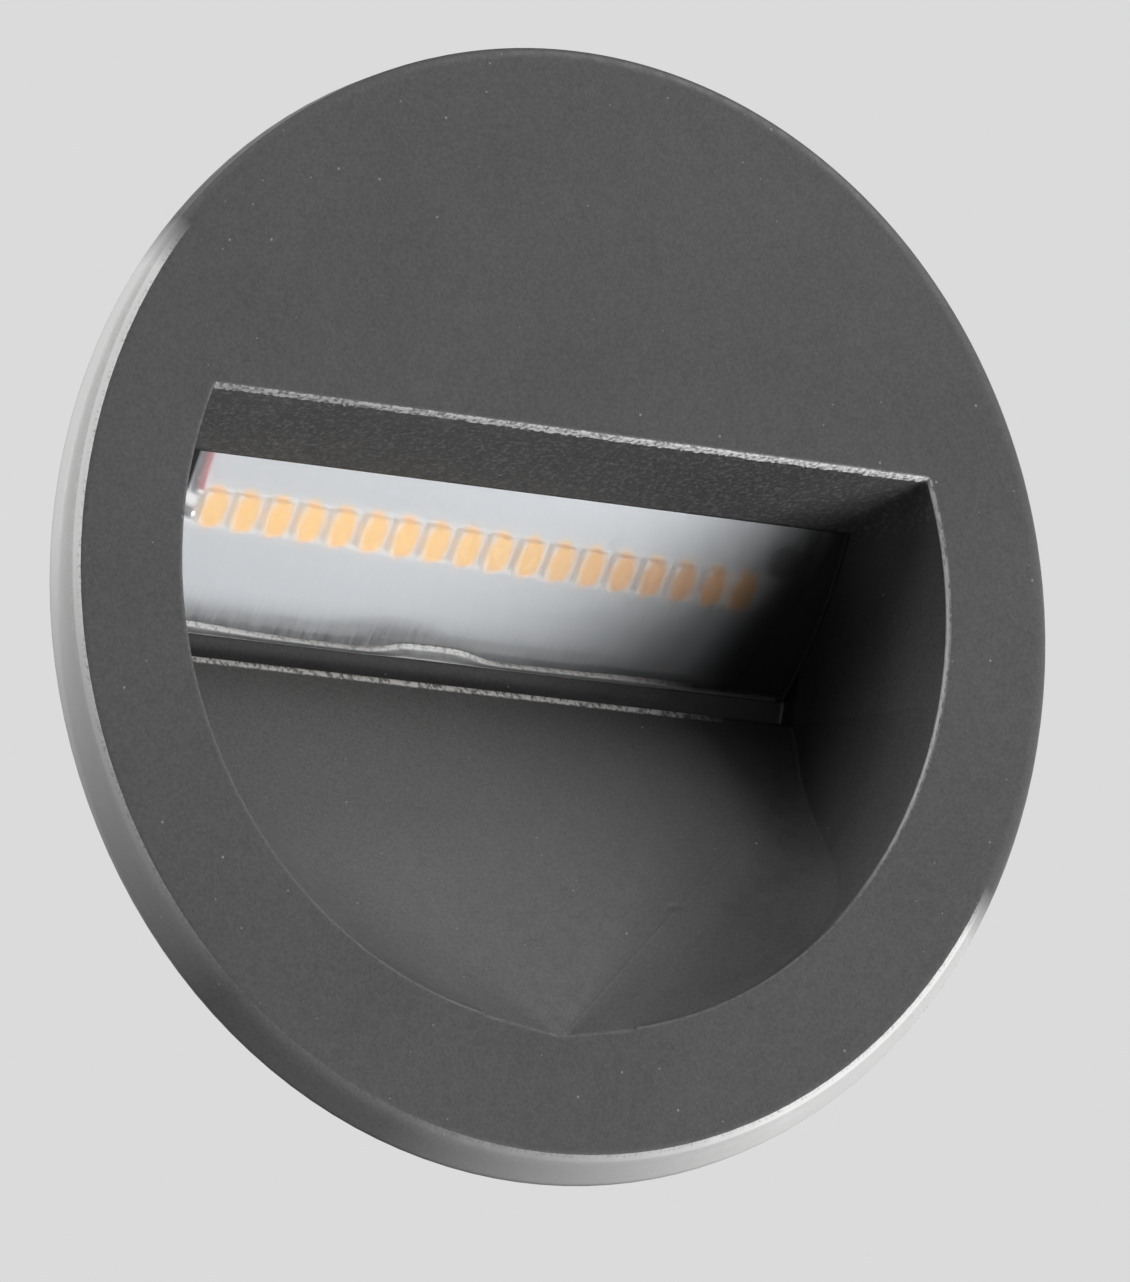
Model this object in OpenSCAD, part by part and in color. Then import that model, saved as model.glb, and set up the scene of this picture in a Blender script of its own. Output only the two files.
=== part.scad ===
// Round in-wall step light: a trim disc with a D-shaped light pocket, a tilted LED window,
// a sealed rear housing with its driver, and two spring clips that hold it in a wall opening.
// X is to the right, Y goes into the wall and Z is up. The wall plane is y = 0.

/* [Front trim] */
// Diameter of the trim on the wall
trim_d = 120; // [114:0.5:130]
// Thickness of the trim in front of the wall
trim_t = 3.2; // [2.8:0.1:4.5]
// How far the front face sits above the centre of the wall side
face_rise = 1.2; // [0:0.1:1.6]
// How much smaller the front face is than the wall side, on the radius
face_inset = 1; // [0.6:0.1:1.6]
// Rounding between the face and the rim
rim_round = 1.2; // [0.6:0.1:1.6]

/* [Light pocket] */
// Width between the opening's round edge and the side of the body
opening_rim = 2.9; // [2.5:0.1:4]
// Height of the round edge's centre above the centre of the trim
opening_rise = 2.7; // [1.5:0.1:3]
// Height of the opening's straight upper edge
chord_z = 19.2; // [17.5:0.1:20]
// How far the lowest point of the opening is drawn down to a tip
tip_drop = 0.6; // [0.2:0.1:1]
// Draft of the round wall, in millimetres per millimetre of depth
wall_draft = 0.15; // [0.12:0.01:0.2]
// Depth of the ceiling's back edge behind the wall plane
ceiling_y = 11.6; // [10:0.1:12.2]
// How far the ceiling drops from front to back
ceiling_drop = 4.35; // [3.5:0.05:6]
// Height of the window, measured along the glass
window_h = 20.6; // [18:0.1:21.2]
// Tilt of the window, with its top towards the front
window_tilt = 35; // [32:0.5:36]
// Height of the riser between the ledge and the window
riser_h = 3.2; // [2:0.1:4]
// Depth of the ledge in front of the riser
ledge_w = 1.9; // [1:0.1:3]
// How far the floor's curve ends outside the opening's edge, on the ledge
floor_spread = 1.4; // [0:0.1:4]
// Wall of the casting round the pocket
skin = 1.5; // [1.2:0.1:1.7]

/* [Window and light source] */
// How far the ends of the glass pane lie inside the opening's edge
glass_inset = 3.2; // [3:0.1:3.5]
// Thickness of the gasket in front of the glass
gasket_t = 0.5; // [0.3:0.1:0.8]
// Thickness of the glass pane
glass_t = 2.5; // [2:0.1:2.6]
// Thickness of the white frame between the glass and the LED board
frame_t = 2; // [1.5:0.1:2.2]
// Thickness of the LED board
board_t = 1.6; // [1:0.1:1.6]
// How far the LED board's ends lie inside the ends of the glass
board_inset = 2.4; // [2.2:0.1:3]
// Distance from one LED to the next
led_pitch = 3.9; // [3.5:0.05:3.9]
// Distance of the row's middle from the top of the window
led_row_drop = 9.2; // [7:0.1:11]
// Distance of the row's left end from the board's left end
led_row_start = 7.7; // [7.5:0.1:8.4]
// Angle at which the row runs down to the right, in degrees
led_row_skew = 1.8; // [0:0.1:2]
// Thickness of the thermal pad
pad_t = 0.4; // [0.3:0.1:0.6]
// Thickness of the aluminium heat spreader
spreader_t = 3; // [2:0.1:3]

/* [Rear housing] */
// Radius of the body behind the trim
body_r = 49.5; // [49.2:0.1:50.2]
// Height of the body's flats above and below the centre
flat_z = 42; // [41.5:0.1:43]
// Depth at which the housing meets its gasket
joint_y = 3; // [2.5:0.1:4]
// Thickness of the housing gasket
ring_t = 1; // [0.8:0.1:1.5]
// Depth at which the housing starts to taper
shoulder_y = 16; // [15:0.5:18]
// How much the housing narrows from its side to its waist
waist_inset = 4.5; // [3.5:0.1:5]
// Depth of the waist
waist_y = 28; // [27:0.5:30]
// Radius of the flat rear end
rear_r = 33; // [31:0.5:36]
// Depth of the rear end behind the wall plane
rear_y = 46; // [44.5:0.5:50]
// Wall of the housing
housing_wall = 1.6; // [1.4:0.1:1.7]
// Distance of the housing screws from the side of the body
housing_screw_edge = 7.1; // [6.8:0.1:8]

/* [Driver and cable entry] */
// Half width of the driver board
driver_half_w = 25; // [23:0.5:26]
// Height of the driver board's upper edge
driver_top = 0; // [-3:0.5:0]
// Height of the driver board's lower edge
driver_bottom = -26; // [-27:0.5:-24]
// Thickness of the driver board
driver_t = 1.6; // [1:0.1:2]
// Space between the driver board and the rear wall
driver_gap = 7.2; // [6.5:0.1:8]
// Height of the cable gland's centre
gland_z = -16; // [-18:0.5:-14]
// Thread radius of the cable gland
gland_r = 8; // [7:0.1:8.5]
// Radius of the cable that the gland takes
cable_r = 3.5; // [3:0.1:4]

/* [Spring clips] */
// Depth of the clip's pin behind the wall plane
pin_y = 10; // [9:0.5:12]
// Distance of the pin from the middle plane
pin_z = 46; // [45.8:0.1:46.5]
// Radius of the pin
pin_r = 1.5; // [1.3:0.1:1.6]
// Length of the clip's arm from the pin to its tip
arm_len = 12.4; // [11:0.1:12.8]
// Angle of the resting arm towards the trim
arm_angle = 38; // [36:0.5:38]
// Width of the arm
arm_w = 16; // [15.5:0.5:17]
// Sheet thickness of the arm and its bracket
sheet_t = 1; // [0.8:0.1:1.2]
// Wire diameter of the torsion spring
wire_d = 0.8; // [0.6:0.05:0.8]
// Number of the spring's turns
turns = 7; // [5:1:7]

/* [Hidden] */
$fn = 96;

// Clearances shared by the pieces that meet.
fit = 0.3;
bore_fit = 0.15;
overlap = 0.5;
far = 200;

// Screw sizes for M3: shank, head and the thread's pilot hole.
screw_r = 1.45;
screw_head_r = 2.75;
screw_head_h = 2.2;
pilot_r = 1.5;
clear_r = 1.7;

trim_r = trim_d / 2;
face_r = trim_r - face_inset;
opening_r = body_r - opening_rim;
waist_r = body_r - waist_inset;
floor_half_w = opening_r + floor_spread;
glass_half_w = opening_r - glass_inset;
board_half_w = glass_half_w - board_inset;

// The window's top and bottom edges in the Y-Z plane, its direction up and its normal
// into the wall.
win_up = [-sin(window_tilt), cos(window_tilt)];
win_in = [cos(window_tilt), sin(window_tilt)];
win_top = [ceiling_y, chord_z - ceiling_drop];
win_bottom = win_top - window_h * win_up;
riser_y = win_bottom[0];
ledge_z = win_bottom[1] - riser_h;
ledge_y = riser_y - ledge_w;
ceiling_slope = ceiling_drop / (ceiling_y + trim_t);

// A point given by its place along the window, up from its top edge and behind it.
function at_window(x, up, behind) =
    [x, win_top[0] + up * win_up[0] + behind * win_in[0],
     win_top[1] + up * win_up[1] + behind * win_in[1]];

// Distances behind the window plane at which the stacked pieces start.
glass_at = gasket_t;
frame_at = glass_at + glass_t;
board_at = frame_at + frame_t;
pad_at = board_at + board_t;
spreader_at = pad_at + pad_t;
stack_lap = 1.5;
frame_lap = 0.8;
frame_bar = 1.4;

// Collar and spigot that the rear housing plugs onto.
spigot_wall = 1.5;
spigot_len = 5;
spigot_inset = housing_wall + fit;
collar_wall = spigot_inset + spigot_wall;
housing_y = joint_y + ring_t;

boss_r = 4.5;
column_r = 5;
boss_end = shoulder_y - 0.2;
screw_seat = shoulder_y + 4;

housing_screw_at = (body_r - housing_screw_edge) / sqrt(2);
flange_z = 27;
flange_x = 16;
flange_half_w = housing_screw_at - column_r - 1;
flange_h = 12;
flange_y = win_top[0] + 2 * win_up[0] + spreader_at * win_in[0];
flange_t = 2.5;
flange_boss_r = 3.5;

rear_wall = 2.2;
rear_round = 3;
driver_y = rear_y - rear_wall - driver_gap - driver_t;
driver_screw_x = 21;
driver_screw_z = [-4, -22];
cable_notch_w = cable_r + 3;
cable_notch_top = gland_z + cable_r + 0.5;
standoff_r = 3;

terminal_z = -31;
terminal_y = 16;
terminal_size = [24, 13, 10];
post_r = 4;
earth_x = housing_screw_at - 10.6;
earth_z = -30;

// The foam ring fills about half of the trim's width outside the body.
gasket_groove = 1.2;
trim_lip = trim_r - body_r;
gasket_r1 = body_r + trim_lip * 2 / 7;
gasket_r2 = trim_r - trim_lip * 5 / 21;

gland_flange_t = 4;
gland_flange_r = 11;
gland_nut_h = 11;
gland_nut_r = 10.4;

vent_x = 20;
vent_z = 18;
vent_r = 3;
vent_cap_r = 5;
vent_cap_t = 2;

ear_gap = fit + 0.1;
bracket_w = arm_w + 2 * (sheet_t + ear_gap);
bracket_y = [pin_y - 4, pin_y + 14];
bracket_hole_y = [pin_y + 4.5, pin_y + 11];
knuckle_r = pin_r + 1.1;
coil_pitch = wire_d + 0.45;
// The coil rests on the bracket's plate.
coil_r = pin_z - flat_z - sheet_t - wire_d / 2;
arm_window = coil_r + wire_d / 2 + 2.2;
sleeve_r = 1.5;

charcoal = [0.29, 0.30, 0.31];

// Turns a shape drawn with its axis on Z so that the axis runs into the wall.
module into_wall() {
    rotate([-90, 0, 0]) children();
}

// Extrudes a front view, drawn as X and Z, from the given depth towards the back.
module front_view(from_y, depth) {
    translate([0, from_y + depth, 0])
        rotate([90, 0, 0])
            linear_extrude(depth) children();
}

// Extrudes a side view, drawn as Y and Z, to both sides of the middle plane.
module side_view(width) {
    rotate([90, 0, 90])
        translate([0, 0, -width / 2])
            linear_extrude(width) children();
}

// Places a flat piece parallel to the window: its front at the given distance behind the
// window plane, Y up the window from its top edge, Z towards the viewer.
module on_window(at, thickness) {
    translate([0, win_top[0], win_top[1]])
        rotate([90 + window_tilt, 0, 0])
            translate([0, 0, -at - thickness]) children();
}

// A plate on the window plane that laps over the window by the given amount.
module window_plate(half_w, lap) {
    translate([-half_w, -window_h - lap])
        square([2 * half_w, window_h + 2 * lap]);
}

// A cylinder whose axis runs into the wall.
module rod(x, z, from_y, to_y, r) {
    translate([x, from_y, z])
        into_wall() cylinder(h = to_y - from_y, r = r);
}

// The same shape above the middle plane, or turned half round to lie below it.
module at_end(side) {
    rotate([0, side > 0 ? 0 : 180, 0]) children();
}

// A screw with a pan head and a cross recess, its head seated at the given depth.
module pan_screw(x, z, seat_y, length) {
    difference() {
        union() {
            rod(x, z, seat_y, seat_y + screw_head_h, screw_head_r);
            rod(x, z, seat_y - length, seat_y + overlap, screw_r);
        }
        for (turn = [0, 90])
            translate([x, seat_y + screw_head_h, z])
                rotate([0, turn, 0])
                    cube([3.2, 2.4, 0.7], center = true);
    }
}

module trim_disc() {
    straight = trim_t - rim_round;
    back_r = face_r + face_inset + face_rise;
    lean = (back_r - face_r) / trim_t;
    intersection() {
        translate([0, -trim_t, 0])
            into_wall() cylinder(h = trim_t, r = trim_r, $fn = 240);
        translate([0, 0, face_rise])
            rotate([90, 0, 0])
                rotate_extrude($fn = 240)
                    polygon(concat(
                        [[0, 0], [back_r, 0]],
                        [for (a = [0:15:90])
                            [face_r + lean * rim_round * (1 - sin(a)) - rim_round * (1 - cos(a)),
                             straight + rim_round * sin(a)]],
                        [[0, trim_t]]));
    }
}

// A block that leaves the opening's lowest part to the floor's own form.
tip_half_w = 9;
tip_top = opening_r - 8.6;
body_depth = 20;

// The round wall of the pocket narrows from the opening towards the window.
module wall_form(grow) {
    front_r = opening_r + wall_draft + grow;
    depth = 60;
    translate([0, -trim_t - 1, opening_rise])
        into_wall()
            cylinder(h = depth, r1 = front_r, r2 = front_r - wall_draft * depth, $fn = 180);
    translate([-tip_half_w, -trim_t - 1, -trim_r])
        cube([2 * tip_half_w, body_depth, trim_r - tip_top]);
}

// The floor runs from the opening's round edge, drawn down to a tip, to the straight ledge.
module floor_form(grow) {
    edge_r = opening_r + 0.3 + 1.35 * grow;
    tip_z = opening_rise - edge_r - tip_drop - 0.5 * grow;
    ledge_back = ledge_y + 0.55 * grow;
    past_ceiling = opening_r;
    hull() {
        translate([0, 0, opening_rise - 0.5 * grow])
            front_view(-trim_t - 1, 1) circle(r = edge_r, $fn = 240);
        translate([-0.05, -trim_t - 1, tip_z])
            cube([0.1, 1, 1]);
        translate([-floor_half_w, ledge_back - 0.1, ledge_z - grow])
            cube([2 * floor_half_w, 0.1, past_ceiling]);
    }
    translate([-trim_r, ledge_back - 0.05, ledge_z - grow])
        cube([2 * trim_r, body_depth, past_ceiling]);
}

// The space in front of the window and under the ceiling, seen from the side. The space itself
// runs on a little behind the window plane, so that the window is open, and leaves a narrow
// land on top of the riser.
past_window = 1;
riser_land = 0.15;
function pocket_side(grow) =
    let (front = grow > 0 ? -1 : -trim_t - 1,
         roof = grow * sqrt(1 + ceiling_slope * ceiling_slope),
         top = win_top + roof / (win_up[1] + ceiling_slope * win_up[0]) * win_up,
         front_z = top[1] + ceiling_slope * (top[0] - front),
         low = win_bottom - (riser_h + grow) / win_up[1] * win_up)
    grow > 0
    ? [[front, front_z], top, low, [low[0], -far], [front, -far]]
    : [[front, front_z], top + past_window * [1, -ceiling_slope],
       win_bottom + [past_window, -riser_land], win_bottom - [0, riser_land],
       [riser_y, -far], [front, -far]];

module pocket_form(grow) {
    intersection() {
        wall_form(grow);
        side_view(2 * trim_d) polygon(pocket_side(grow));
        floor_form(grow);
    }
}

// The skin round the pocket, kept inside the spigot behind the joint.
module pocket_skin() {
    intersection() {
        pocket_form(skin);
        union() {
            front_view(-trim_t, trim_t + joint_y) body_outline(0);
            front_view(joint_y - overlap, far) body_outline(spigot_inset);
        }
    }
}

// Outline of the body behind the trim: a circle with a flat above and below.
module body_outline(inset) {
    intersection() {
        circle(r = body_r - inset, $fn = 180);
        square([2 * body_r, 2 * (flat_z - inset)], center = true);
    }
}

module body_ring(from_y, depth, outer, inner) {
    front_view(from_y, depth)
        difference() {
            body_outline(outer);
            body_outline(inner);
        }
}

module each_housing_screw() {
    for (x = [-housing_screw_at, housing_screw_at])
        for (z = [-housing_screw_at, housing_screw_at])
            translate([x, 0, z]) children();
}

module face_casting() color(charcoal) {
    difference() {
        union() {
            trim_disc();
            pocket_skin();
            body_ring(-overlap, joint_y + overlap, 0, collar_wall);
            body_ring(joint_y - overlap, spigot_len + overlap, spigot_inset, collar_wall);
            each_housing_screw() rod(0, 0, -overlap, boss_end, boss_r);
            for (x = [-flange_x, flange_x])
                rod(x, flange_z, -overlap, flange_y, flange_boss_r);
            rod(0, terminal_z, -overlap, terminal_y, post_r);
            rod(earth_x, earth_z, -overlap, terminal_y, post_r);
        }
        pocket_form(0);
        translate([0, -gasket_groove, 0])
            into_wall() difference() {
                cylinder(h = gasket_groove + 1, r = gasket_r2 + bore_fit);
                translate([0, 0, -1]) cylinder(h = gasket_groove + 3, r = gasket_r1 - bore_fit);
            }
        each_housing_screw() rod(0, 0, 6, far, pilot_r);
        for (x = [-flange_x, flange_x])
            rod(x, flange_z, 6, far, pilot_r);
        rod(0, terminal_z, 7, far, pilot_r);
        rod(earth_x, earth_z, 7, far, pilot_r);
    }
}

module wall_gasket() color([0.12, 0.12, 0.12]) {
    translate([0, -gasket_groove, 0])
        into_wall() difference() {
            cylinder(h = gasket_groove, r = gasket_r2);
            translate([0, 0, -1]) cylinder(h = gasket_groove + 2, r = gasket_r1);
        }
}

// The gasket follows the casting's rim round the window.
module window_gasket() color([0.16, 0.16, 0.17]) {
    difference() {
        on_window(0, gasket_t)
            linear_extrude(gasket_t) window_plate(glass_half_w, stack_lap);
        intersection() {
            wall_form(0.05);
            on_window(-1, gasket_t + 2)
                linear_extrude(gasket_t + 2) window_plate(trim_r, 0.1);
        }
    }
}

module window_glass() color([0.86, 0.90, 0.91, 0.45]) {
    on_window(glass_at, glass_t)
        linear_extrude(glass_t) window_plate(glass_half_w, stack_lap);
}

// Height of the sealant bead: slightly uneven, with one swelling where it was started.
bead_h = 0.42;
bump_h = 0.85;
bump_x = -4.2;
bump_w = 4.6;
bead_half_w = glass_half_w - 2;
bead_step = 1.8;
bead_foot = -window_h + 0.12;
function bead_top(x) =
    bead_h + bump_h * exp(-pow((x - bump_x) / bump_w, 2)) + 0.13 * cos(11 * (x + 4))
    + 0.05 * sin(37 * x);

module window_sealant() color([0.62, 0.63, 0.64]) {
    front = 0.45;
    on_window(-front, front + gasket_t)
        linear_extrude(front + gasket_t)
            polygon(concat(
                [[bead_half_w, bead_foot], [-bead_half_w, bead_foot]],
                [for (x = [-bead_half_w:bead_step:bead_half_w]) [x, bead_foot + bead_top(x)]]));
}

module led_frame() color([0.93, 0.93, 0.92]) {
    half_w = glass_half_w - frame_lap;
    on_window(frame_at, frame_t)
        linear_extrude(frame_t) difference() {
            window_plate(half_w, stack_lap);
            window_plate(half_w - frame_bar, -0.4);
            translate([lead_x - 3.6, -1]) square([5, 5]);
        }
}

module led_board() color([0.90, 0.91, 0.92]) {
    on_window(board_at, board_t)
        linear_extrude(board_t) difference() {
            window_plate(board_half_w, stack_lap - fit);
            each_board_screw() circle(r = board_screw_r + fit);
        }
}

// Two small screws hold the ends of the board on the heat spreader.
board_screw_x = board_half_w - 2;
board_screw_drop = 6.3;
board_screw_r = 1;

module each_board_screw() {
    for (x = [-board_screw_x, board_screw_x])
        translate([x, -board_screw_drop]) children();
}

module board_screws() color([0.13, 0.13, 0.13]) {
    on_window(board_at, 0)
        each_board_screw() {
            rotate_extrude($fn = 48)
                polygon([[0, 0], [1.9, 0], [1.9, 0.5], [1.7, 0.9], [1.3, 1.2], [0, 1.35]]);
            translate([0, 0, -spreader_t - pad_t - board_t + 0.6])
                cylinder(h = spreader_t + pad_t + board_t, r = board_screw_r, $fn = 32);
        }
}

// The row fills the board between the leads and the right screw.
led_count = floor((2 * board_half_w - 10) / led_pitch);
led_row_x = led_row_start - board_half_w + led_count * led_pitch / 2;

module each_led() {
    on_window(board_at, 0)
        translate([led_row_x, -led_row_drop, 0])
            rotate([0, 0, -led_row_skew])
                for (i = [0:led_count - 1])
                    translate([(i - (led_count - 1) / 2) * led_pitch, 0, 0]) children();
}

led_size = [2.9, 3.9, 0.75];
phosphor_size = [2.4, 3.5];

module led_packages() color([0.95, 0.95, 0.93]) {
    each_led() difference() {
        translate([-led_size[0] / 2, -led_size[1] / 2, 0]) cube(led_size);
        translate([-phosphor_size[0] / 2, -phosphor_size[1] / 2, led_size[2] - 0.3])
            cube([phosphor_size[0], phosphor_size[1], 1]);
    }
}

module led_phosphors() color([0.98, 0.80, 0.50]) {
    each_led()
        translate([0, 0, led_size[2] - 0.3])
            linear_extrude(0.25)
                square([phosphor_size[0] - 0.04, phosphor_size[1] - 0.04], center = true);
}

// Solder joints at the left end of the board, one for each lead.
lead_x = led_row_start - board_half_w - 0.55;
black_x = lead_x - 2.2;
lead_drop = [6.2, 9];
lead_r = 0.55;
lead_over = board_at - 0.65;
driver_face = 0.6;

module board_solder_joints() color([0.85, 0.86, 0.87]) {
    for (drop = lead_drop)
        on_window(board_at, 0)
            translate([lead_x, -drop, 0])
                rotate_extrude($fn = 32)
                    polygon([[0, 0], [0.85, 0], [0.79, 0.35], [0.62, 0.7], [0.34, 0.95], [0, 1.05]]);
}

// Both leads run up the board, over the top of the stack and down to the driver board.
lead_top = stack_lap + 0.4 + lead_r + 0.45;
red_route = [at_window(lead_x, -6, lead_over), at_window(lead_x - 0.1, -4.6, lead_over),
             at_window(lead_x - 0.2, -2, lead_over), at_window(lead_x - 0.2, 0.8, lead_over),
             at_window(lead_x - 0.2, lead_top - 0.3, frame_at + 2.2),
             at_window(lead_x, lead_top, pad_at + 0.6),
             at_window(lead_x, lead_top, spreader_at + spreader_t),
             at_window(lead_x + 0.4, 1, spreader_at + 4.8),
             at_window(lead_x + 1.4, -5, spreader_at + 5), [-29.6, driver_y - 4.6, 9.8],
             [-20.4, driver_y - 1.9, 2.8], [-15.9, driver_y - 1.5, -1],
             [-15.4, driver_y - driver_face, -3.4]];
black_route = [at_window(lead_x - 0.2, -8.9, lead_over), at_window(lead_x - 1.4, -8.4, lead_over),
               at_window(black_x + 0.1, -6.5, lead_over), at_window(black_x, -3, lead_over),
               at_window(black_x, 0.8, lead_over),
               at_window(black_x, lead_top - 0.3, frame_at + 2.2),
               at_window(black_x, lead_top, pad_at + 0.6),
               at_window(black_x, lead_top, spreader_at + spreader_t),
               at_window(black_x + 0.2, 1, spreader_at + 4.8),
               at_window(lead_x - 1.2, -5, spreader_at + 5), [-32, driver_y - 4.6, 8.4],
               [-22, driver_y - 1.9, 1.2], [-17.6, driver_y - 1.5, -2.6],
               [-17.2, driver_y - driver_face, -5]];

function on_curve(a, b, c, d, t) =
    0.5 * (2 * b + t * (c - a) + t * t * (2 * a - 5 * b + 4 * c - d)
           + t * t * t * (3 * b - a - 3 * c + d));
function smooth(p, steps) =
    [for (i = [0:len(p) - 2])
        for (k = [0:i == len(p) - 2 ? steps : steps - 1])
            on_curve(p[max(i - 1, 0)], p[i], p[i + 1], p[min(i + 2, len(p) - 1)], k / steps)];

module lead_red() color([0.75, 0.16, 0.18]) wire_tube(smooth(red_route, 3), lead_r, 8);

module lead_black() color([0.08, 0.08, 0.09]) wire_tube(smooth(black_route, 3), lead_r, 8);

module thermal_pad() color([0.55, 0.62, 0.66]) {
    on_window(pad_at, pad_t)
        linear_extrude(pad_t) window_plate(board_half_w - 4, -spreader_short);
}

// The spreader ends short of the stack's lower edge, to leave room for the leads.
spreader_short = 2.6;

module heat_spreader() color([0.72, 0.73, 0.74]) {
    half_w = board_half_w - 1;
    difference() {
        union() {
            on_window(spreader_at, spreader_t)
                linear_extrude(spreader_t) difference() {
                    translate([-half_w, -window_h + spreader_short])
                        square([2 * half_w, window_h - spreader_short + stack_lap + 0.4]);
                    each_board_screw() circle(r = board_screw_r + 0.02);
                }
            translate([-flange_half_w, flange_y, flange_z - 7])
                cube([2 * flange_half_w, flange_t, flange_h]);
        }
        for (x = [-flange_x, flange_x])
            rod(x, flange_z, flange_y - 1, flange_y + flange_t + 1, clear_r);
    }
}

module spreader_screws() color([0.75, 0.75, 0.76]) {
    for (x = [-flange_x, flange_x])
        pan_screw(x, flange_z, flange_y + flange_t, 9);
}

module housing_gasket() color([0.14, 0.14, 0.15]) {
    body_ring(joint_y, ring_t, 0.3, spigot_inset - fit);
}

// The housing's outer or inner form, turned about the axis and cut by the two flats.
module housing_form(inset, front_y, end_y) {
    corner = rear_round;
    intersection() {
        rotate([-90, 0, 0])
            rotate_extrude($fn = 180)
                polygon([[0, front_y],
                         [body_r - inset, front_y],
                         [body_r - inset, shoulder_y],
                         [waist_r - inset, waist_y],
                         [rear_r + corner - inset, end_y - corner],
                         [rear_r + corner * 0.6 - inset, end_y - corner * 0.35],
                         [rear_r - inset, end_y],
                         [0, end_y]]);
        front_view(front_y - 1, end_y) body_outline(inset);
    }
}

module rear_housing() color([0.20, 0.21, 0.22]) {
    difference() {
        union() {
            difference() {
                housing_form(0, housing_y, rear_y);
                housing_form(housing_wall, housing_y - 1, rear_y - rear_wall);
            }
            intersection() {
                housing_form(0, housing_y, rear_y);
                each_housing_screw() rod(0, 0, shoulder_y, rear_y, column_r);
            }
            for (x = [-driver_screw_x, driver_screw_x])
                for (z = driver_screw_z)
                    rod(x, z, driver_y + driver_t, rear_y - overlap, standoff_r);
            for (side = [-1, 1])
                at_end(side) for (y = bracket_hole_y)
                    translate([0, y, flat_z - 5]) cylinder(h = 5, r = 3.4);
        }
        each_housing_screw() rod(0, 0, shoulder_y - 1, far, clear_r);
        each_housing_screw() rod(0, 0, screw_seat, far, screw_head_r + 0.45);
        for (x = [-driver_screw_x, driver_screw_x])
            for (z = driver_screw_z)
                rod(x, z, driver_y, rear_y - 2, pilot_r);
        rod(0, gland_z, rear_y - rear_wall - 1, rear_y + 1, gland_r + bore_fit);
        rod(vent_x, vent_z, rear_y - rear_wall - 1, rear_y + 1, vent_r + bore_fit);
        for (side = [-1, 1])
            at_end(side) for (y = bracket_hole_y)
                translate([0, y, flat_z - 4]) cylinder(h = 5, r = pilot_r);
    }
}

module housing_screws() color([0.75, 0.75, 0.76]) {
    each_housing_screw() pan_screw(0, 0, screw_seat, 13);
}

module driver_board() color([0.10, 0.36, 0.20]) {
    difference() {
        translate([-driver_half_w, driver_y, driver_bottom])
            cube([2 * driver_half_w, driver_t, driver_top - driver_bottom]);
        translate([-cable_notch_w, driver_y - 1, driver_bottom - 1])
            cube([2 * cable_notch_w, driver_t + 2, cable_notch_top - driver_bottom + 1]);
        for (x = [-driver_screw_x, driver_screw_x])
            for (z = driver_screw_z)
                rod(x, z, driver_y - 1, driver_y + driver_t + 1, clear_r);
    }
}

module driver_screws() color([0.75, 0.75, 0.76]) {
    for (x = [-driver_screw_x, driver_screw_x])
        for (z = driver_screw_z)
            translate([0, 2 * driver_y, 0])
                mirror([0, 1, 0]) pan_screw(x, z, driver_y, 7);
}

// A part of the driver that stands on the board's front side.
module stands_at(x, z) {
    translate([x, driver_y, z]) rotate([90, 0, 0]) children();
}

// Sizes of the driver's parts, and their places on the board as X and Z.
can_at = [-13, -18];
can_r = 5;
can_h = 12.6;
film_at = [12, -18.4];
film_size = [6, 13, 10];
core_at = [3, -6.6];
core_size = [14, 4, 7.4];
core_foot = [13, 10, 1.4];
winding_r = 4.6;
winding_h = 5;
bridge_at = [-21, -12];
bridge_size = [5, 6.4, 3];
fuse_at = [18, -13];
fuse_r = 2;
fuse_len = 9;
choke_at = [-9.4, -6];
choke_r = 4;
choke_h = 7;
choke_cheek = 1;

module filter_capacitor() color([0.10, 0.11, 0.16]) {
    crimp = can_r - 0.4;
    stands_at(can_at[0], can_at[1])
        rotate_extrude($fn = 48)
            polygon([[0, 0], [can_r - 0.3, 0], [can_r, 0.4], [can_r, 1.6], [crimp, 2],
                     [can_r, 2.4], [can_r, can_h - 0.4], [crimp, can_h], [0, can_h]]);
}

module film_capacitor() color([0.85, 0.66, 0.14]) {
    stands_at(film_at[0], film_at[1])
        translate([-film_size[0] / 2, -film_size[1] / 2, 0]) cube(film_size);
}

module transformer() color([0.25, 0.22, 0.20]) {
    stands_at(core_at[0], core_at[1]) {
        translate([-core_size[0] / 2, -core_size[1] / 2, 0]) cube(core_size);
        translate([0, 0, core_foot[2] - 0.2]) cylinder(h = winding_h, r = winding_r);
        translate([-core_foot[0] / 2, -core_foot[1] / 2, 0]) cube(core_foot);
    }
}

module bridge_rectifier() color([0.08, 0.08, 0.08]) {
    stands_at(bridge_at[0], bridge_at[1])
        translate([-bridge_size[0] / 2, -bridge_size[1] / 2, 0]) cube(bridge_size);
}

module fuse_resistor() color([0.30, 0.55, 0.60]) {
    stands_at(fuse_at[0], fuse_at[1])
        translate([0, -fuse_len / 2, fuse_r + 0.4])
            rotate([-90, 0, 0]) cylinder(h = fuse_len, r = fuse_r, $fn = 48);
}

module choke_coil() color([0.55, 0.30, 0.12]) {
    stands_at(choke_at[0], choke_at[1]) {
        cylinder(h = choke_cheek, r = choke_r, $fn = 48);
        cylinder(h = choke_h, r = choke_r - 0.9, $fn = 48);
        translate([0, 0, choke_h - choke_cheek])
            cylinder(h = choke_cheek, r = choke_r, $fn = 48);
    }
}

module each_pole() {
    for (x = [-7.6, 0, 7.6]) translate([x, 0, 0]) children();
}

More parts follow.
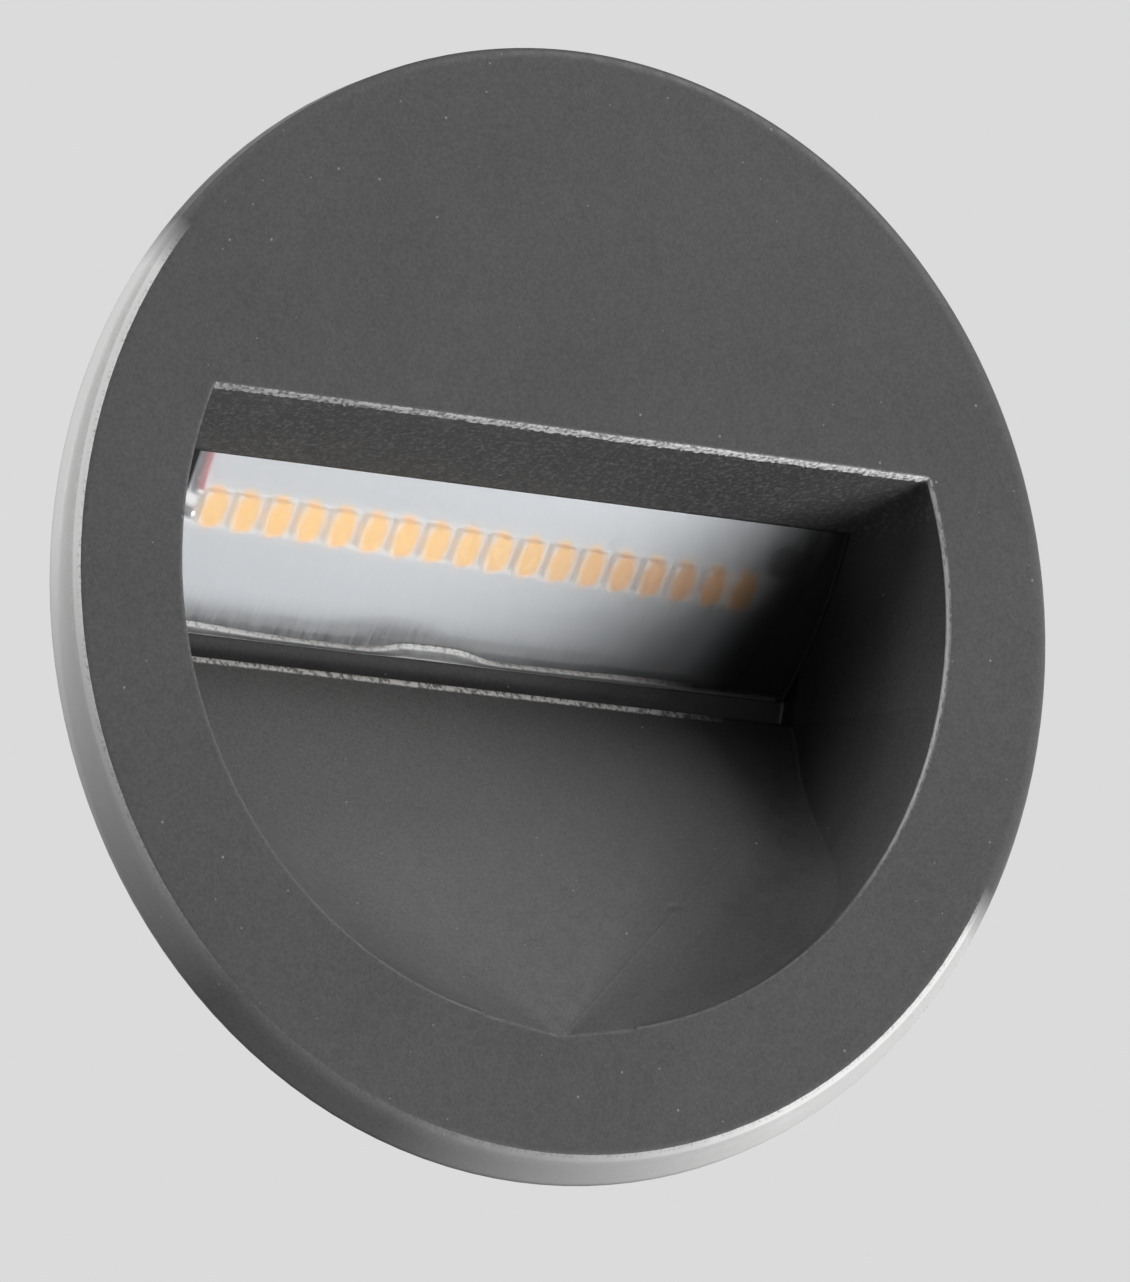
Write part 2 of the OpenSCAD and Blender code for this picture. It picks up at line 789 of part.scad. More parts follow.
// The block has one wire hole and one screw hole for each pole.
module terminal_block() color([0.90, 0.90, 0.86]) {
    w = terminal_size[0];
    d = terminal_size[1];
    h = terminal_size[2];
    difference() {
        translate([-w / 2, terminal_y, terminal_z - h / 2]) cube(terminal_size);
        each_pole() rod(0, terminal_z - 1.4, terminal_y + d - 6, terminal_y + d + 1, 1.7);
        each_pole()
            translate([0, terminal_y + d - 3.2, terminal_z + 0.5])
                cylinder(h = h, r = 1.8, $fn = 48);
        rod(0, terminal_z, terminal_y - 1, terminal_y + 8, clear_r);
        rod(0, terminal_z, terminal_y + 3, terminal_y + 7, screw_head_r + 0.3);
    }
}

module terminal_screws() color([0.78, 0.74, 0.60]) {
    each_pole()
        translate([0, terminal_y + terminal_size[1] - 3.2, terminal_z + 0.5])
            difference() {
                cylinder(h = 3.2, r = 1.6, $fn = 48);
                translate([-0.3, -2, 2.6]) cube([0.6, 4, 2]);
            }
}

module terminal_fixing_screw() color([0.75, 0.75, 0.76]) {
    pan_screw(0, terminal_z, terminal_y + 3, 10);
}

module earth_tag() color([0.80, 0.81, 0.82]) {
    difference() {
        union() {
            rod(earth_x, earth_z, terminal_y, terminal_y + 0.8, 3.6);
            translate([earth_x - 2, terminal_y, earth_z]) cube([4, 0.8, 9]);
        }
        rod(earth_x, earth_z, terminal_y - 1, terminal_y + 2, clear_r);
    }
}

module earth_screw() color([0.30, 0.55, 0.30]) {
    pan_screw(earth_x, earth_z, terminal_y + 0.8, 7);
}

// A hexagon across the gland's axis, given the radius of its flats.
module hexagon(flat_r) {
    circle(r = flat_r / cos(30), $fn = 6);
}

module gland_body() color([0.16, 0.16, 0.17]) {
    thread_in = rear_wall + 5;
    translate([0, rear_y, gland_z])
        into_wall() difference() {
            union() {
                translate([0, 0, 1]) linear_extrude(gland_flange_t - 1) hexagon(gland_flange_r - 1);
                translate([0, 0, -thread_in]) cylinder(h = thread_in + 1.5, r = gland_r);
                translate([0, 0, gland_flange_t - 0.5]) cylinder(h = 7, r = gland_r - 0.3);
            }
            translate([0, 0, -thread_in - 1]) cylinder(h = thread_in + 30, r = cable_r + 2);
        }
}

module gland_washer() color([0.10, 0.10, 0.10]) {
    translate([0, rear_y, gland_z])
        into_wall() difference() {
            cylinder(h = 1, r = gland_flange_r - 1.2);
            translate([0, 0, -1]) cylinder(h = 3, r = gland_r + bore_fit);
        }
}

module gland_locknut() color([0.16, 0.16, 0.17]) {
    translate([0, rear_y - rear_wall - 3, gland_z])
        into_wall() difference() {
            linear_extrude(3) hexagon(gland_flange_r - 0.5);
            translate([0, 0, -1]) cylinder(h = 5, r = gland_r + bore_fit);
        }
}

module gland_seal() color([0.10, 0.10, 0.10]) {
    translate([0, rear_y + gland_flange_t, gland_z])
        into_wall() difference() {
            union() {
                translate([0, 0, -1]) cylinder(h = 7.8, r = cable_r + 1.9);
                translate([0, 0, 6.6]) cylinder(h = 1.6, r1 = cable_r + 3.2, r2 = cable_r + 2);
            }
            translate([0, 0, -2]) cylinder(h = 20, r = cable_r);
        }
}

module gland_nut() color([0.16, 0.16, 0.17]) {
    grip = 5.5;
    translate([0, rear_y + gland_flange_t, gland_z])
        into_wall() difference() {
            intersection() {
                union() {
                    translate([0, 0, 0.3]) linear_extrude(grip) hexagon(gland_nut_r - 0.6);
                    translate([0, 0, 0.3]) cylinder(h = gland_nut_h, r = gland_nut_r - 1);
                }
                rotate_extrude()
                    polygon([[0, 0], [gland_nut_r, 0], [gland_nut_r + 0.6, 0.8],
                             [gland_nut_r + 0.6, grip], [gland_nut_r - 1.4, gland_nut_h - 3],
                             [gland_nut_r - 3.6, gland_nut_h], [0, gland_nut_h]]);
            }
            translate([0, 0, -1]) cylinder(h = 7.9, r = gland_r - 0.3 + bore_fit);
            translate([0, 0, 6.8]) cylinder(h = 2, r1 = gland_r - 0.2, r2 = cable_r + 2.2);
            translate([0, 0, 5]) cylinder(h = 20, r = cable_r + 1);
        }
}

// The vent lets the housing breathe through a membrane.
module vent_plug() color([0.12, 0.12, 0.13]) {
    rod(vent_x, vent_z, rear_y - rear_wall - 2, rear_y + overlap, vent_r);
    translate([vent_x, rear_y, vent_z])
        into_wall() rotate_extrude()
            polygon([[0, 0], [vent_cap_r, 0], [vent_cap_r, vent_cap_t - 0.6],
                     [vent_cap_r - 0.6, vent_cap_t], [0, vent_cap_t]]);
}

module clip_bracket() color([0.70, 0.71, 0.72]) {
    y0 = bracket_y[0];
    y1 = bracket_y[1];
    ear_r = pin_r + 1.5;
    difference() {
        union() {
            translate([-bracket_w / 2, y0, flat_z]) cube([bracket_w, y1 - y0, sheet_t]);
            for (x = [-bracket_w / 2, bracket_w / 2 - sheet_t])
                translate([x, 0, 0])
                    rotate([90, 0, 90])
                        linear_extrude(sheet_t) {
                            translate([pin_y, pin_z]) circle(r = ear_r);
                            polygon([[y0, flat_z], [pin_y - ear_r + 0.1, pin_z],
                                     [pin_y + ear_r - 0.1, pin_z], [pin_y + ear_r + 3, flat_z]]);
                        }
        }
        translate([-far / 2, pin_y, pin_z])
            rotate([0, 90, 0]) cylinder(h = far, r = pin_r + 0.02);
        for (y = bracket_hole_y)
            translate([0, y, flat_z - 1]) cylinder(h = 4, r = clear_r);
    }
}

module clip_bracket_top() at_end(1) clip_bracket();

module clip_bracket_bottom() at_end(-1) clip_bracket();

module bracket_screws() color([0.75, 0.75, 0.76]) {
    for (side = [-1, 1])
        at_end(side) for (y = bracket_hole_y)
            translate([0, y, flat_z + sheet_t]) {
                cylinder(h = 1.3, r = 2.4);
                translate([0, 0, -4.5]) cylinder(h = 5, r = screw_r);
            }
}

module clip_pin() color([0.80, 0.81, 0.82]) {
    half = bracket_w / 2;
    translate([0, pin_y, pin_z])
        rotate([0, 90, 0]) {
            translate([0, 0, -half - 0.8]) cylinder(h = 2 * half + 1.6, r = pin_r);
            for (z = [-half - 1, half])
                translate([0, 0, z]) cylinder(h = 1, r = pin_r + 0.7);
        }
}

module clip_pin_top() at_end(1) clip_pin();

module clip_pin_bottom() at_end(-1) clip_pin();

// The spring is one wire: a straight leg that lies on the bracket, then the coil.
coil_turns = turns + 0.5;
coil_len = coil_turns * coil_pitch;
coil_start = -coil_len / 2 - 0.7;
leg_x = coil_start + coil_len + wire_d + 0.35;
// The arm's slot is wide enough for the coil and its second leg.
slot_w = 2 * (leg_x + wire_d / 2 + 0.56);
knuckle_w = (arm_w - slot_w) / 2 - fit;
rings = 8;
leg_len = 6;
coil_points = [for (i = [0:coil_turns * rings])
    let (a = 360 * i / rings)
    [coil_start + coil_pitch * i / rings, -coil_r * sin(a), -coil_r * cos(a)]];
leg_points = [[coil_start, leg_len, -coil_r], [coil_start, leg_len / 2, -coil_r]];
wire_points = concat(leg_points, coil_points);

function unit(v) = v / norm(v);
function wire_dir(p, i) = unit(p[min(i + 1, len(p) - 1)] - p[max(i - 1, 0)]);
function wire_ring(p, i, r, sides) =
    let (t = wire_dir(p, i),
         side = unit(cross(t, [1, 0, 0])),
         up = cross(side, t))
    [for (k = [0:sides - 1])
        p[i] + r * (cos(360 * k / sides) * side + sin(360 * k / sides) * up)];

// A round wire swept along its points, closed at both ends.
module wire_tube(p, r, sides) {
    count = len(p);
    last = sides * (count - 1);
    points = [for (i = [0:count - 1]) each wire_ring(p, i, r, sides)];
    walls = [for (i = [0:count - 2])
        for (k = [0:sides - 1])
            let (a = sides * i + k, b = sides * i + (k + 1) % sides)
            each [[a, b, b + sides], [a, b + sides, a + sides]]];
    start = [for (k = [1:sides - 2]) [0, k + 1, k]];
    end = [for (k = [1:sides - 2]) [last, last + k, last + k + 1]];
    polyhedron(points = points, faces = concat(walls, start, end));
}

// Least gap between one turn of the wire and the next, measured on the wire's own points.
least_gap = min([for (i = [0:len(coil_points) - 1])
    for (j = [i + rings / 2:len(coil_points) - 1])
        if (j < len(coil_points)) norm(coil_points[j] - coil_points[i]) - wire_d]);
echo(spring_least_gap = least_gap);

module clip_spring() color([0.62, 0.63, 0.65]) {
    translate([0, pin_y, pin_z]) wire_tube(wire_points, wire_d / 2, 6);
}

module clip_spring_top() at_end(1) clip_spring();

module clip_spring_bottom() at_end(-1) clip_spring();

// Places a shape drawn with Y along the arm onto the resting arm.
module on_arm() {
    translate([0, pin_y, pin_z]) rotate([90 + arm_angle, 0, 0]) children();
}

// The arm is a sheet with a window for the coil and two knuckles on the pin.
module spring_arm() color([0.74, 0.75, 0.76]) {
    on_arm() difference() {
        union() {
            translate([-arm_w / 2, 0, -sheet_t / 2]) cube([arm_w, arm_window + 2, sheet_t]);
            translate([0, 0, -sheet_t / 2])
                linear_extrude(sheet_t)
                    polygon([[-arm_w / 2, arm_window + 1.9], [arm_w / 2, arm_window + 1.9],
                             [arm_w / 2 - 2, arm_len], [-arm_w / 2 + 2, arm_len]]);
            for (x = [-arm_w / 2, arm_w / 2 - knuckle_w])
                translate([x, 0, 0]) rotate([0, 90, 0]) cylinder(h = knuckle_w, r = knuckle_r);
        }
        translate([-slot_w / 2, -far / 2, -far / 2])
            cube([slot_w, far / 2 + arm_window, far]);
        translate([-far / 2, 0, 0]) rotate([0, 90, 0]) cylinder(h = far, r = pin_r + 0.06);
    }
}

module spring_arm_top() at_end(1) spring_arm();

module spring_arm_bottom() at_end(-1) spring_arm();

// The spring's other leg leaves the coil in front of the arm, passes through the arm's
// window and presses on its back.
press_z = -(sheet_t + wire_d) / 2;
arm_leg = [[leg_x, 0, coil_r], [leg_x, 1.6, coil_r - 0.15], [leg_x, 3, coil_r - 1.2],
           [leg_x, 4, press_z + 0.7], [leg_x, 5.2, press_z - 0.05], [leg_x, 7, press_z],
           [leg_x, 9.6, press_z]];

module spring_leg() color([0.62, 0.63, 0.65]) {
    on_arm() wire_tube(smooth(arm_leg, 3), wire_d / 2, 6);
}

module spring_leg_top() at_end(1) spring_leg();

module spring_leg_bottom() at_end(-1) spring_leg();

// A soft sleeve on the arm's tip, slotted for the sheet.
module arm_sleeve() color([0.90, 0.90, 0.88]) {
    w = arm_w - 3.6;
    on_arm() difference() {
        union() {
            translate([-w / 2, arm_len - 2.4, -sleeve_r]) cube([w, 2.4, 2 * sleeve_r]);
            translate([-w / 2, arm_len, 0]) rotate([0, 90, 0]) cylinder(h = w, r = sleeve_r);
        }
        translate([-arm_w, arm_len - 4, -sheet_t / 2 - 0.02])
            cube([2 * arm_w, 4.02, sheet_t + 0.04]);
    }
}

module arm_sleeve_top() at_end(1) arm_sleeve();

module arm_sleeve_bottom() at_end(-1) arm_sleeve();

face_casting();
wall_gasket();
window_gasket();
window_glass();
window_sealant();
led_frame();
led_board();
led_packages();
led_phosphors();
board_solder_joints();
board_screws();
lead_red();
lead_black();
thermal_pad();
heat_spreader();
spreader_screws();
housing_gasket();
rear_housing();
housing_screws();
driver_board();
driver_screws();
filter_capacitor();
film_capacitor();
transformer();
bridge_rectifier();
fuse_resistor();
choke_coil();
terminal_block();
terminal_screws();
terminal_fixing_screw();
earth_tag();
earth_screw();
gland_body();
gland_washer();
gland_locknut();
gland_seal();
gland_nut();
vent_plug();
clip_bracket_top();
clip_bracket_bottom();
bracket_screws();
clip_pin_top();
clip_pin_bottom();
clip_spring_top();
clip_spring_bottom();
spring_arm_top();
spring_arm_bottom();
spring_leg_top();
spring_leg_bottom();
arm_sleeve_top();
arm_sleeve_bottom();
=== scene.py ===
# Dresses the recessed wall light: materials, the sealant bead, lights and the camera.
import math

import bmesh
import bpy
from mathutils import Matrix, Vector, noise


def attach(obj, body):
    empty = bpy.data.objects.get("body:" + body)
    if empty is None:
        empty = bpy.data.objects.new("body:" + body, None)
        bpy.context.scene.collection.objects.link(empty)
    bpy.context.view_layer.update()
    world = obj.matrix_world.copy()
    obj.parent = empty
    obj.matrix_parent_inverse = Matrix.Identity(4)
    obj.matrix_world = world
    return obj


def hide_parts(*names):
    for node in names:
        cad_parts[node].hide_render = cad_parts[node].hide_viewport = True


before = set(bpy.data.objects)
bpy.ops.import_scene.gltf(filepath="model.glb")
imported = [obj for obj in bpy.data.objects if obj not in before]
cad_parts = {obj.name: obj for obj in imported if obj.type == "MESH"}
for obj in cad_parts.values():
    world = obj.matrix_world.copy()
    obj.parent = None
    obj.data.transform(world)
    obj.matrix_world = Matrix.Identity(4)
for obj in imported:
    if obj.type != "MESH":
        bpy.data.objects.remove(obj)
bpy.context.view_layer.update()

MM = 0.001

# The window plane, as in the CAD model: its top edge, its direction up and into the wall.
WINDOW_TOP = Vector((0, 11.6, 14.85)) * MM
WINDOW_TILT = math.radians(35)
WINDOW_UP = Vector((0, -math.sin(WINDOW_TILT), math.cos(WINDOW_TILT)))
WINDOW_IN = Vector((0, math.cos(WINDOW_TILT), math.sin(WINDOW_TILT)))

BEVEL_SAMPLES = 8
# The edge mask goes from 0 to 1 as the bevelled normal turns away from the true one.
EDGE_DOTS = (0.985, 0.89)


def at_window(x, up, behind):
    """A point given by its place along the window, up from its top edge and behind it."""
    return WINDOW_TOP + Vector((x, 0, 0)) + WINDOW_UP * up + WINDOW_IN * behind


class Look:
    """A procedural material round one Principled shader. Scales are per metre."""

    def __init__(self, name, color, roughness, metallic=0.0, **sockets):
        self.material = bpy.data.materials.new(name)
        self.material.use_nodes = True
        self.tree = self.material.node_tree
        self.shader = self.tree.nodes["Principled BSDF"]
        self.output = self.tree.nodes["Material Output"]
        self.coords = self.tree.nodes.new("ShaderNodeTexCoord").outputs["Object"]
        self.color = color
        self.set(self.shader, "Base Color", (*color, 1))
        self.set(self.shader, "Roughness", roughness)
        self.set(self.shader, "Metallic", metallic)
        for key, value in sockets.items():
            self.set(self.shader, key.replace("_", " "), value)

    def set(self, node, key, value):
        """Sets a socket to a value, or links it to another socket."""
        if isinstance(value, bpy.types.NodeSocket):
            self.tree.links.new(value, node.inputs[key])
        else:
            node.inputs[key].default_value = value

    def add(self, kind, settings=None, **inputs):
        """A new shader node with its settings and input sockets set."""
        node = self.tree.nodes.new("ShaderNode" + kind)
        for key, value in (settings or {}).items():
            setattr(node, key, value)
        for key, value in inputs.items():
            self.set(node, key.replace("_", " "), value)
        return node

    def math(self, operation, a, b=0.0, clamp=False):
        """The result of one operation on one or two values."""
        node = self.add("Math", {"operation": operation, "use_clamp": clamp})
        self.set(node, 0, a)
        self.set(node, 1, b)
        return node.outputs[0]

    def times(self, first, *others):
        """The product of two or more values."""
        for other in others:
            first = self.math("MULTIPLY", first, other)
        return first

    def over(self, value, limit):
        """1 where the value is above the limit, else 0."""
        return self.math("GREATER_THAN", value, limit)

    def under(self, value, limit):
        """1 where the value is below the limit, else 0."""
        return self.math("LESS_THAN", value, limit)

    def stretched(self, scale):
        """Coordinates times the scale, so a pattern is drawn out where it is below 1."""
        node = self.add("Mapping", Vector=self.coords)
        self.set(node, "Scale", scale)
        return node.outputs[0]

    def turned(self, angles, scale):
        """Coordinates of a turned frame, whose axes are then drawn out by the scale."""
        node = self.add("Mapping", {"vector_type": "TEXTURE"}, Vector=self.coords)
        self.set(node, "Rotation", angles)
        self.set(node, "Scale", scale)
        return node.outputs[0]

    def noise(self, scale, detail=2.0, rough=0.5, vector=None):
        """Cloudy noise between 0 and 1."""
        node = self.add("TexNoise", Scale=scale, Detail=detail, Roughness=rough)
        self.set(node, "Vector", vector or self.coords)
        return node.outputs["Fac"]

    def spots(self, scale, radius, share):
        """Small round spots, in a share of the cells."""
        node = self.add("TexVoronoi", Vector=self.coords, Scale=scale)
        near = self.span(node.outputs["Distance"], radius, radius * 0.5, 0, 1)
        pick = self.add("SeparateColor")
        self.set(pick, 0, node.outputs["Color"])
        return self.times(near, self.over(pick.outputs[0], 1 - share))

    def span(self, value, low, high, a, b, shape="LINEAR"):
        """Maps low..high to a..b and clamps."""
        node = self.add("MapRange", {"clamp": True, "interpolation_type": shape})
        for key, number in (("Value", value), ("From Min", low), ("From Max", high),
                            ("To Min", a), ("To Max", b)):
            self.set(node, key, number)
        return node.outputs[0]

    def place(self, axis, vector=None):
        """One coordinate of a point, or of another vector."""
        node = self.add("SeparateXYZ")
        self.set(node, 0, vector or self.coords)
        return node.outputs[axis]

    def radius(self):
        """Distance from the light's axis."""
        squares = [self.math("POWER", self.math("ABSOLUTE", self.place(axis)), 2.0)
                   for axis in "XZ"]
        return self.math("SQRT", self.math("ADD", *squares))

    def mix(self, factor, a, b):
        """A colour between a, at factor 0, and b, at factor 1."""
        node = self.add("Mix", {"data_type": "RGBA"})
        self.set(node, 0, factor)
        for key, value in ((6, a), (7, b)):
            self.set(node, key, value if isinstance(value, bpy.types.NodeSocket) else (*value, 1))
        return node.outputs[2]

    def shade(self, low, high, fac):
        """The base colour times a factor from low to high."""
        dark = tuple(c * low for c in self.color)
        light = tuple(c * high for c in self.color)
        return self.mix(fac, dark, light)

    def bump(self, height, strength, distance, normal=None):
        """The normal of a surface with this height pattern."""
        node = self.add("Bump", Height=height, Strength=strength, Distance=distance)
        if normal is not None:
            self.set(node, "Normal", normal)
        return node.outputs[0]

    def edges(self, radius):
        """The normal over rounded edges, and a mask that is 1 on the edge."""
        bevel = self.add("Bevel", {"samples": BEVEL_SAMPLES})
        self.set(bevel, "Radius", radius)
        true_normal = self.add("NewGeometry").outputs["Normal"]
        dot = self.add("VectorMath", {"operation": "DOT_PRODUCT"})
        self.set(dot, 0, bevel.outputs[0])
        self.set(dot, 1, true_normal)
        return bevel.outputs[0], self.span(dot.outputs["Value"], *EDGE_DOTS, 0, 1)

    def blend(self, factor, first, second):
        """A shader between two shader nodes."""
        node = self.add("MixShader")
        self.set(node, 0, factor)
        self.set(node, 1, first.outputs[0])
        self.set(node, 2, second.outputs[0])
        return node

    def use(self, *nodes):
        """Puts the material in every slot of these CAD nodes."""
        for name in nodes:
            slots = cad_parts[name].data.materials
            if len(slots) == 0:
                slots.append(self.material)
            for i in range(len(slots)):
                slots[i] = self.material


# The two folds of the pocket's floor run from its tip to the ends of the ledge.
FLOOR_TIP_Z = -45.1 * MM
FLOOR_TOP_Z = (-8 * MM, -5.5 * MM)
FLOOR_FACES_UP = 0.4
FOLD_SLOPE = 1.2
FOLD_SOFTNESS = 0.42
FOLD_TURN = (-0.11, 0.06, 0.08)
# Outside the folds the floor's normal leans sideways by between these amounts.
FOLD_LEAN = (0.03, 0.7)


def soft_floor(look, normal):
    """Turns the normal on both sides of the floor's folds so that they shade as one curve."""
    x, z = (look.place(axis) for axis in "XZ")
    slope = look.math("DIVIDE", look.math("ABSOLUTE", x), look.math("SUBTRACT", z, FLOOR_TIP_Z))
    share = look.span(slope, FOLD_SLOPE - FOLD_SOFTNESS, FOLD_SLOPE + FOLD_SOFTNESS, 0, 1)
    true_normal = look.add("NewGeometry").outputs["True Normal"]
    lean = look.math("ABSOLUTE", look.place("X", true_normal))
    past_fold = look.over(lean, FOLD_LEAN[0])
    on_floor = look.times(look.span(z, *FLOOR_TOP_Z, 1, 0),
                          look.over(look.place("Z", true_normal), FLOOR_FACES_UP),
                          look.under(lean, FOLD_LEAN[1]))
    turn = look.add("CombineXYZ", Y=FOLD_TURN[1], Z=FOLD_TURN[2])
    look.set(turn, "X", look.times(look.math("SIGN", x), FOLD_TURN[0]))
    scaled = look.add("VectorMath", {"operation": "SCALE"}, Vector=turn.outputs[0])
    look.set(scaled, "Scale", look.times(look.math("SUBTRACT", share, past_fold), on_floor))
    turned = look.add("VectorMath", {"operation": "ADD"})
    look.set(turned, 0, normal)
    look.set(turned, 1, scaled.outputs[0])
    return turned.outputs[0]


# Places on the casting: front face, upper edge of the opening, ledge and riser.
FACE_Y = -3.2 * MM
CHORD_Z = 19.2 * MM
CHORD_HALF_W = 43.5 * MM
LEDGE_Y = 21.52 * MM
LEDGE_Z = -5.22 * MM
RISER_Y = 23.42 * MM
RISER_END_X = 40.5 * MM
CEILING_Z = (13.5 * MM, 14.8 * MM)
# A surface of the pocket doesn't face forwards: Y of its normal is above this.
POCKET_NORMAL_Y = -0.7
# Radii outside the opening, for its painted light and shade and for its wear and painted
# highlights, and inside the rim's rounding.
INSIDE_R = 49 * MM
BANDS_R = 50 * MM
RIM_R = 56 * MM

# The wear and painted highlight are full up to the first distance from the edge and gone at the
# second.
CEILING_STRIP = (0.4 * MM, 0.8 * MM)
FACE_STRIP = (0.05 * MM, 0.16 * MM)
ARC_STRIP = (0.4 * MM, 0.62 * MM)
LEDGE_STRIP = (0.52 * MM, 0.72 * MM)
STRIP_JITTER = 0.9 * MM
WORN_AND_HIGHLIT_METAL = (0.82, 0.82, 0.81)

# The rim's painted sheen is least round this angle, seen from the front and counted from the
# right.
RIM_LEAST_SHEEN_AT = math.radians(121)
# The sheen grows between the first two angles from there, and is gone past the second two.
RIM_SHEEN_GROWS = (0.2, 1.05)
RIM_SHEEN_GONE = (1.57, 1.68)
# The rim takes the painted sheen where Y of its normal passes these values, with a brighter
# painted highlight line at first.
RIM_EDGE = (-0.95, -0.92)
LINE_BEGINS = (-0.95, -0.93)
LINE_ENDS = (-0.84, -0.8)
RIM_SHEEN_COLOR = (0.52, 0.52, 0.515)
RIM_LINE_COLOR = (0.74, 0.74, 0.73)


def worn_and_highlit_bands(look, normal_y):
    """Strips of wear and painted highlight along the opening's upper edge, its right arc and the
    ledge.
    """
    x, y, z = (look.place(axis) for axis in "XYZ")
    jitter = look.times(look.math("SUBTRACT", look.noise(1500, 2, 0.6), 0.5), STRIP_JITTER)
    dashes = look.noise(2100, 2, 0.65, look.stretched((1, 0.7, 0.55)))
    in_pocket = look.over(normal_y, POCKET_NORMAL_Y)
    # The upper edge: a strip of the ceiling and a thinner one of the face above it.
    depth = look.math("SUBTRACT", look.math("ADD", y, jitter), FACE_Y)
    ceiling = look.times(look.span(depth, *CEILING_STRIP, 1, 0),
                         look.over(z, CHORD_Z - 0.5 * MM), in_pocket)
    above = look.math("SUBTRACT", look.math("ADD", z, look.times(jitter, 0.4)), CHORD_Z)
    face = look.times(look.span(above, *FACE_STRIP, 1, 0), look.over(above, -0.3 * MM))
    # The upper edge's painted highlight grows brighter to the right.
    chord = look.times(look.math("MAXIMUM", ceiling, face), look.span(y, 1 * MM, 0, 0, 1),
                       look.span(x, -30 * MM, 20 * MM, 0.48, 0.9),
                       look.under(look.math("ABSOLUTE", x), CHORD_HALF_W))
    # The right arc: an even line that fades out at both ends.
    arc = look.times(look.span(look.math("SUBTRACT", y, FACE_Y), *ARC_STRIP, 1, 0),
                     look.span(x, 28 * MM, 40 * MM, 0, 1),
                     look.span(z, -31 * MM, -11 * MM, 0.05, 1), in_pocket,
                     look.under(z, CHORD_Z - 0.1 * MM))
    # The ledge: the top of the floor under the ledge's front edge, up to near its right end.
    below = look.math("SUBTRACT", LEDGE_Z, look.math("ADD", z, look.times(jitter, 0.3)))
    ledge = look.times(look.span(below, *LEDGE_STRIP, 1, 0),
                       look.span(x, 24 * MM, 34 * MM, 1, 0), look.under(z, LEDGE_Z + 0.05 * MM),
                       look.span(y, LEDGE_Y - 0.9 * MM, LEDGE_Y - 0.8 * MM, 0, 1),
                       look.under(y, LEDGE_Y + 0.35 * MM))
    lines = look.times(look.math("MAXIMUM", chord, ledge), look.span(dashes, 0.38, 0.54, 0.18, 1))
    return look.math("MAXIMUM", lines, look.times(arc, look.span(dashes, 0.3, 0.5, 0.6, 1)))


def edge_wear_and_highlight(look, edge, inner):
    """Wear and painted highlight on the opening's outer edges, not on the seams round the window
    and the ceiling.
    """
    x, y, z = (look.place(axis) for axis in "XYZ")
    # More to the right, where the painted highlight is brightest, and less towards the floor's
    # tip.
    side = look.span(x, -20 * MM, 34 * MM, 0.1, 0.7)
    low = look.span(z, -30 * MM, -4 * MM, 0.15, 1)
    # The front edge, and below the ledge the edges a little deeper in.
    outer = look.math("MAXIMUM", look.span(y, -2.6 * MM, -2.2 * MM, 1, 0),
                      look.times(look.span(z, -12 * MM, -6 * MM, 1, 0),
                                 look.span(y, 14 * MM, 8 * MM, 0, 0.7)))
    chips = look.span(look.noise(1700, 2, 0.7), 0.36, 0.54, 0.2, 1)
    return look.times(edge, side, low, outer, inner, chips)


def painted_pocket_shading(look):
    """Painted light and shade over the pocket: a lighter floor by the ledge, a darker corner."""
    x, y, z = (look.place(axis) for axis in "XYZ")
    # Painted light on the floor near the ledge and at the left, painted shade on the riser to the
    # right.
    near = look.times(look.span(z, -20 * MM, -9 * MM, 0, 0.35),
                      look.span(x, -2 * MM, 14 * MM, 1, 0), look.span(y, 4 * MM, 8 * MM, 0, 1))
    floor = look.times(look.math("ADD", near, look.span(x, -25 * MM, 22 * MM, 0.34, -0.14)),
                       look.under(z, LEDGE_Z + 0.02 * MM), look.span(y, FACE_Y, -1 * MM, 0, 1))
    riser = look.times(look.span(x, 8 * MM, 34 * MM, 0, -0.6), look.over(y, RISER_Y - 0.3 * MM))
    # The short wall between the riser's right end and the pocket's wall lies in the dark.
    end = look.times(look.over(x, RISER_END_X), look.over(y, LEDGE_Y - 0.2 * MM))
    # Painted light on the right wall in front and painted shade deep inside.
    front = look.times(look.span(y, 7 * MM, -2 * MM, 0, 0.9),
                       look.span(z, 12 * MM, -6 * MM, 0, 1), look.over(y, FACE_Y + 0.02 * MM))
    deep = look.span(y, 6 * MM, 18.5 * MM, 0, -0.68)
    wall = look.times(look.span(x, 30 * MM, 38 * MM, 0, 1), look.math("ADD", front, deep))
    change = look.math("ADD", look.math("SUBTRACT", look.math("ADD", floor, riser), end), wall)
    return look.math("MAXIMUM", look.math("ADD", change, 1.0), 0.0)


def painted_rim_sheen(look, base, grain, radius, normal_y):
    """A painted sheen on the rim, with a painted highlight line: the most at the right and left of
    its lower half, hardly at the lower left, and none along the upper right."""
    down = look.times(look.place("Z"), -1.0)
    angle = look.math("ARCTAN2", down, look.place("X"))
    turn = look.math("ABSOLUTE", look.math("SUBTRACT", angle, RIM_LEAST_SHEEN_AT))
    turn = look.math("MINIMUM", turn, look.math("SUBTRACT", 2 * math.pi, turn))
    sheen_share = look.times(look.span(turn, *RIM_SHEEN_GROWS, 0.05, 0.85), look.span(turn, *RIM_SHEEN_GONE, 1, 0))
    ragged = look.math("ADD", normal_y, look.times(grain, 0.06))
    outside = look.times(look.span(ragged, *RIM_EDGE, 0, 1), look.over(radius, RIM_R))
    base = look.mix(look.times(outside, sheen_share), base, RIM_SHEEN_COLOR)
    line = look.times(look.span(ragged, *LINE_BEGINS, 0, 1), look.span(ragged, *LINE_ENDS, 1, 0),
                      look.math("POWER", sheen_share, 3.0), outside)
    return look.mix(line, base, RIM_LINE_COLOR)


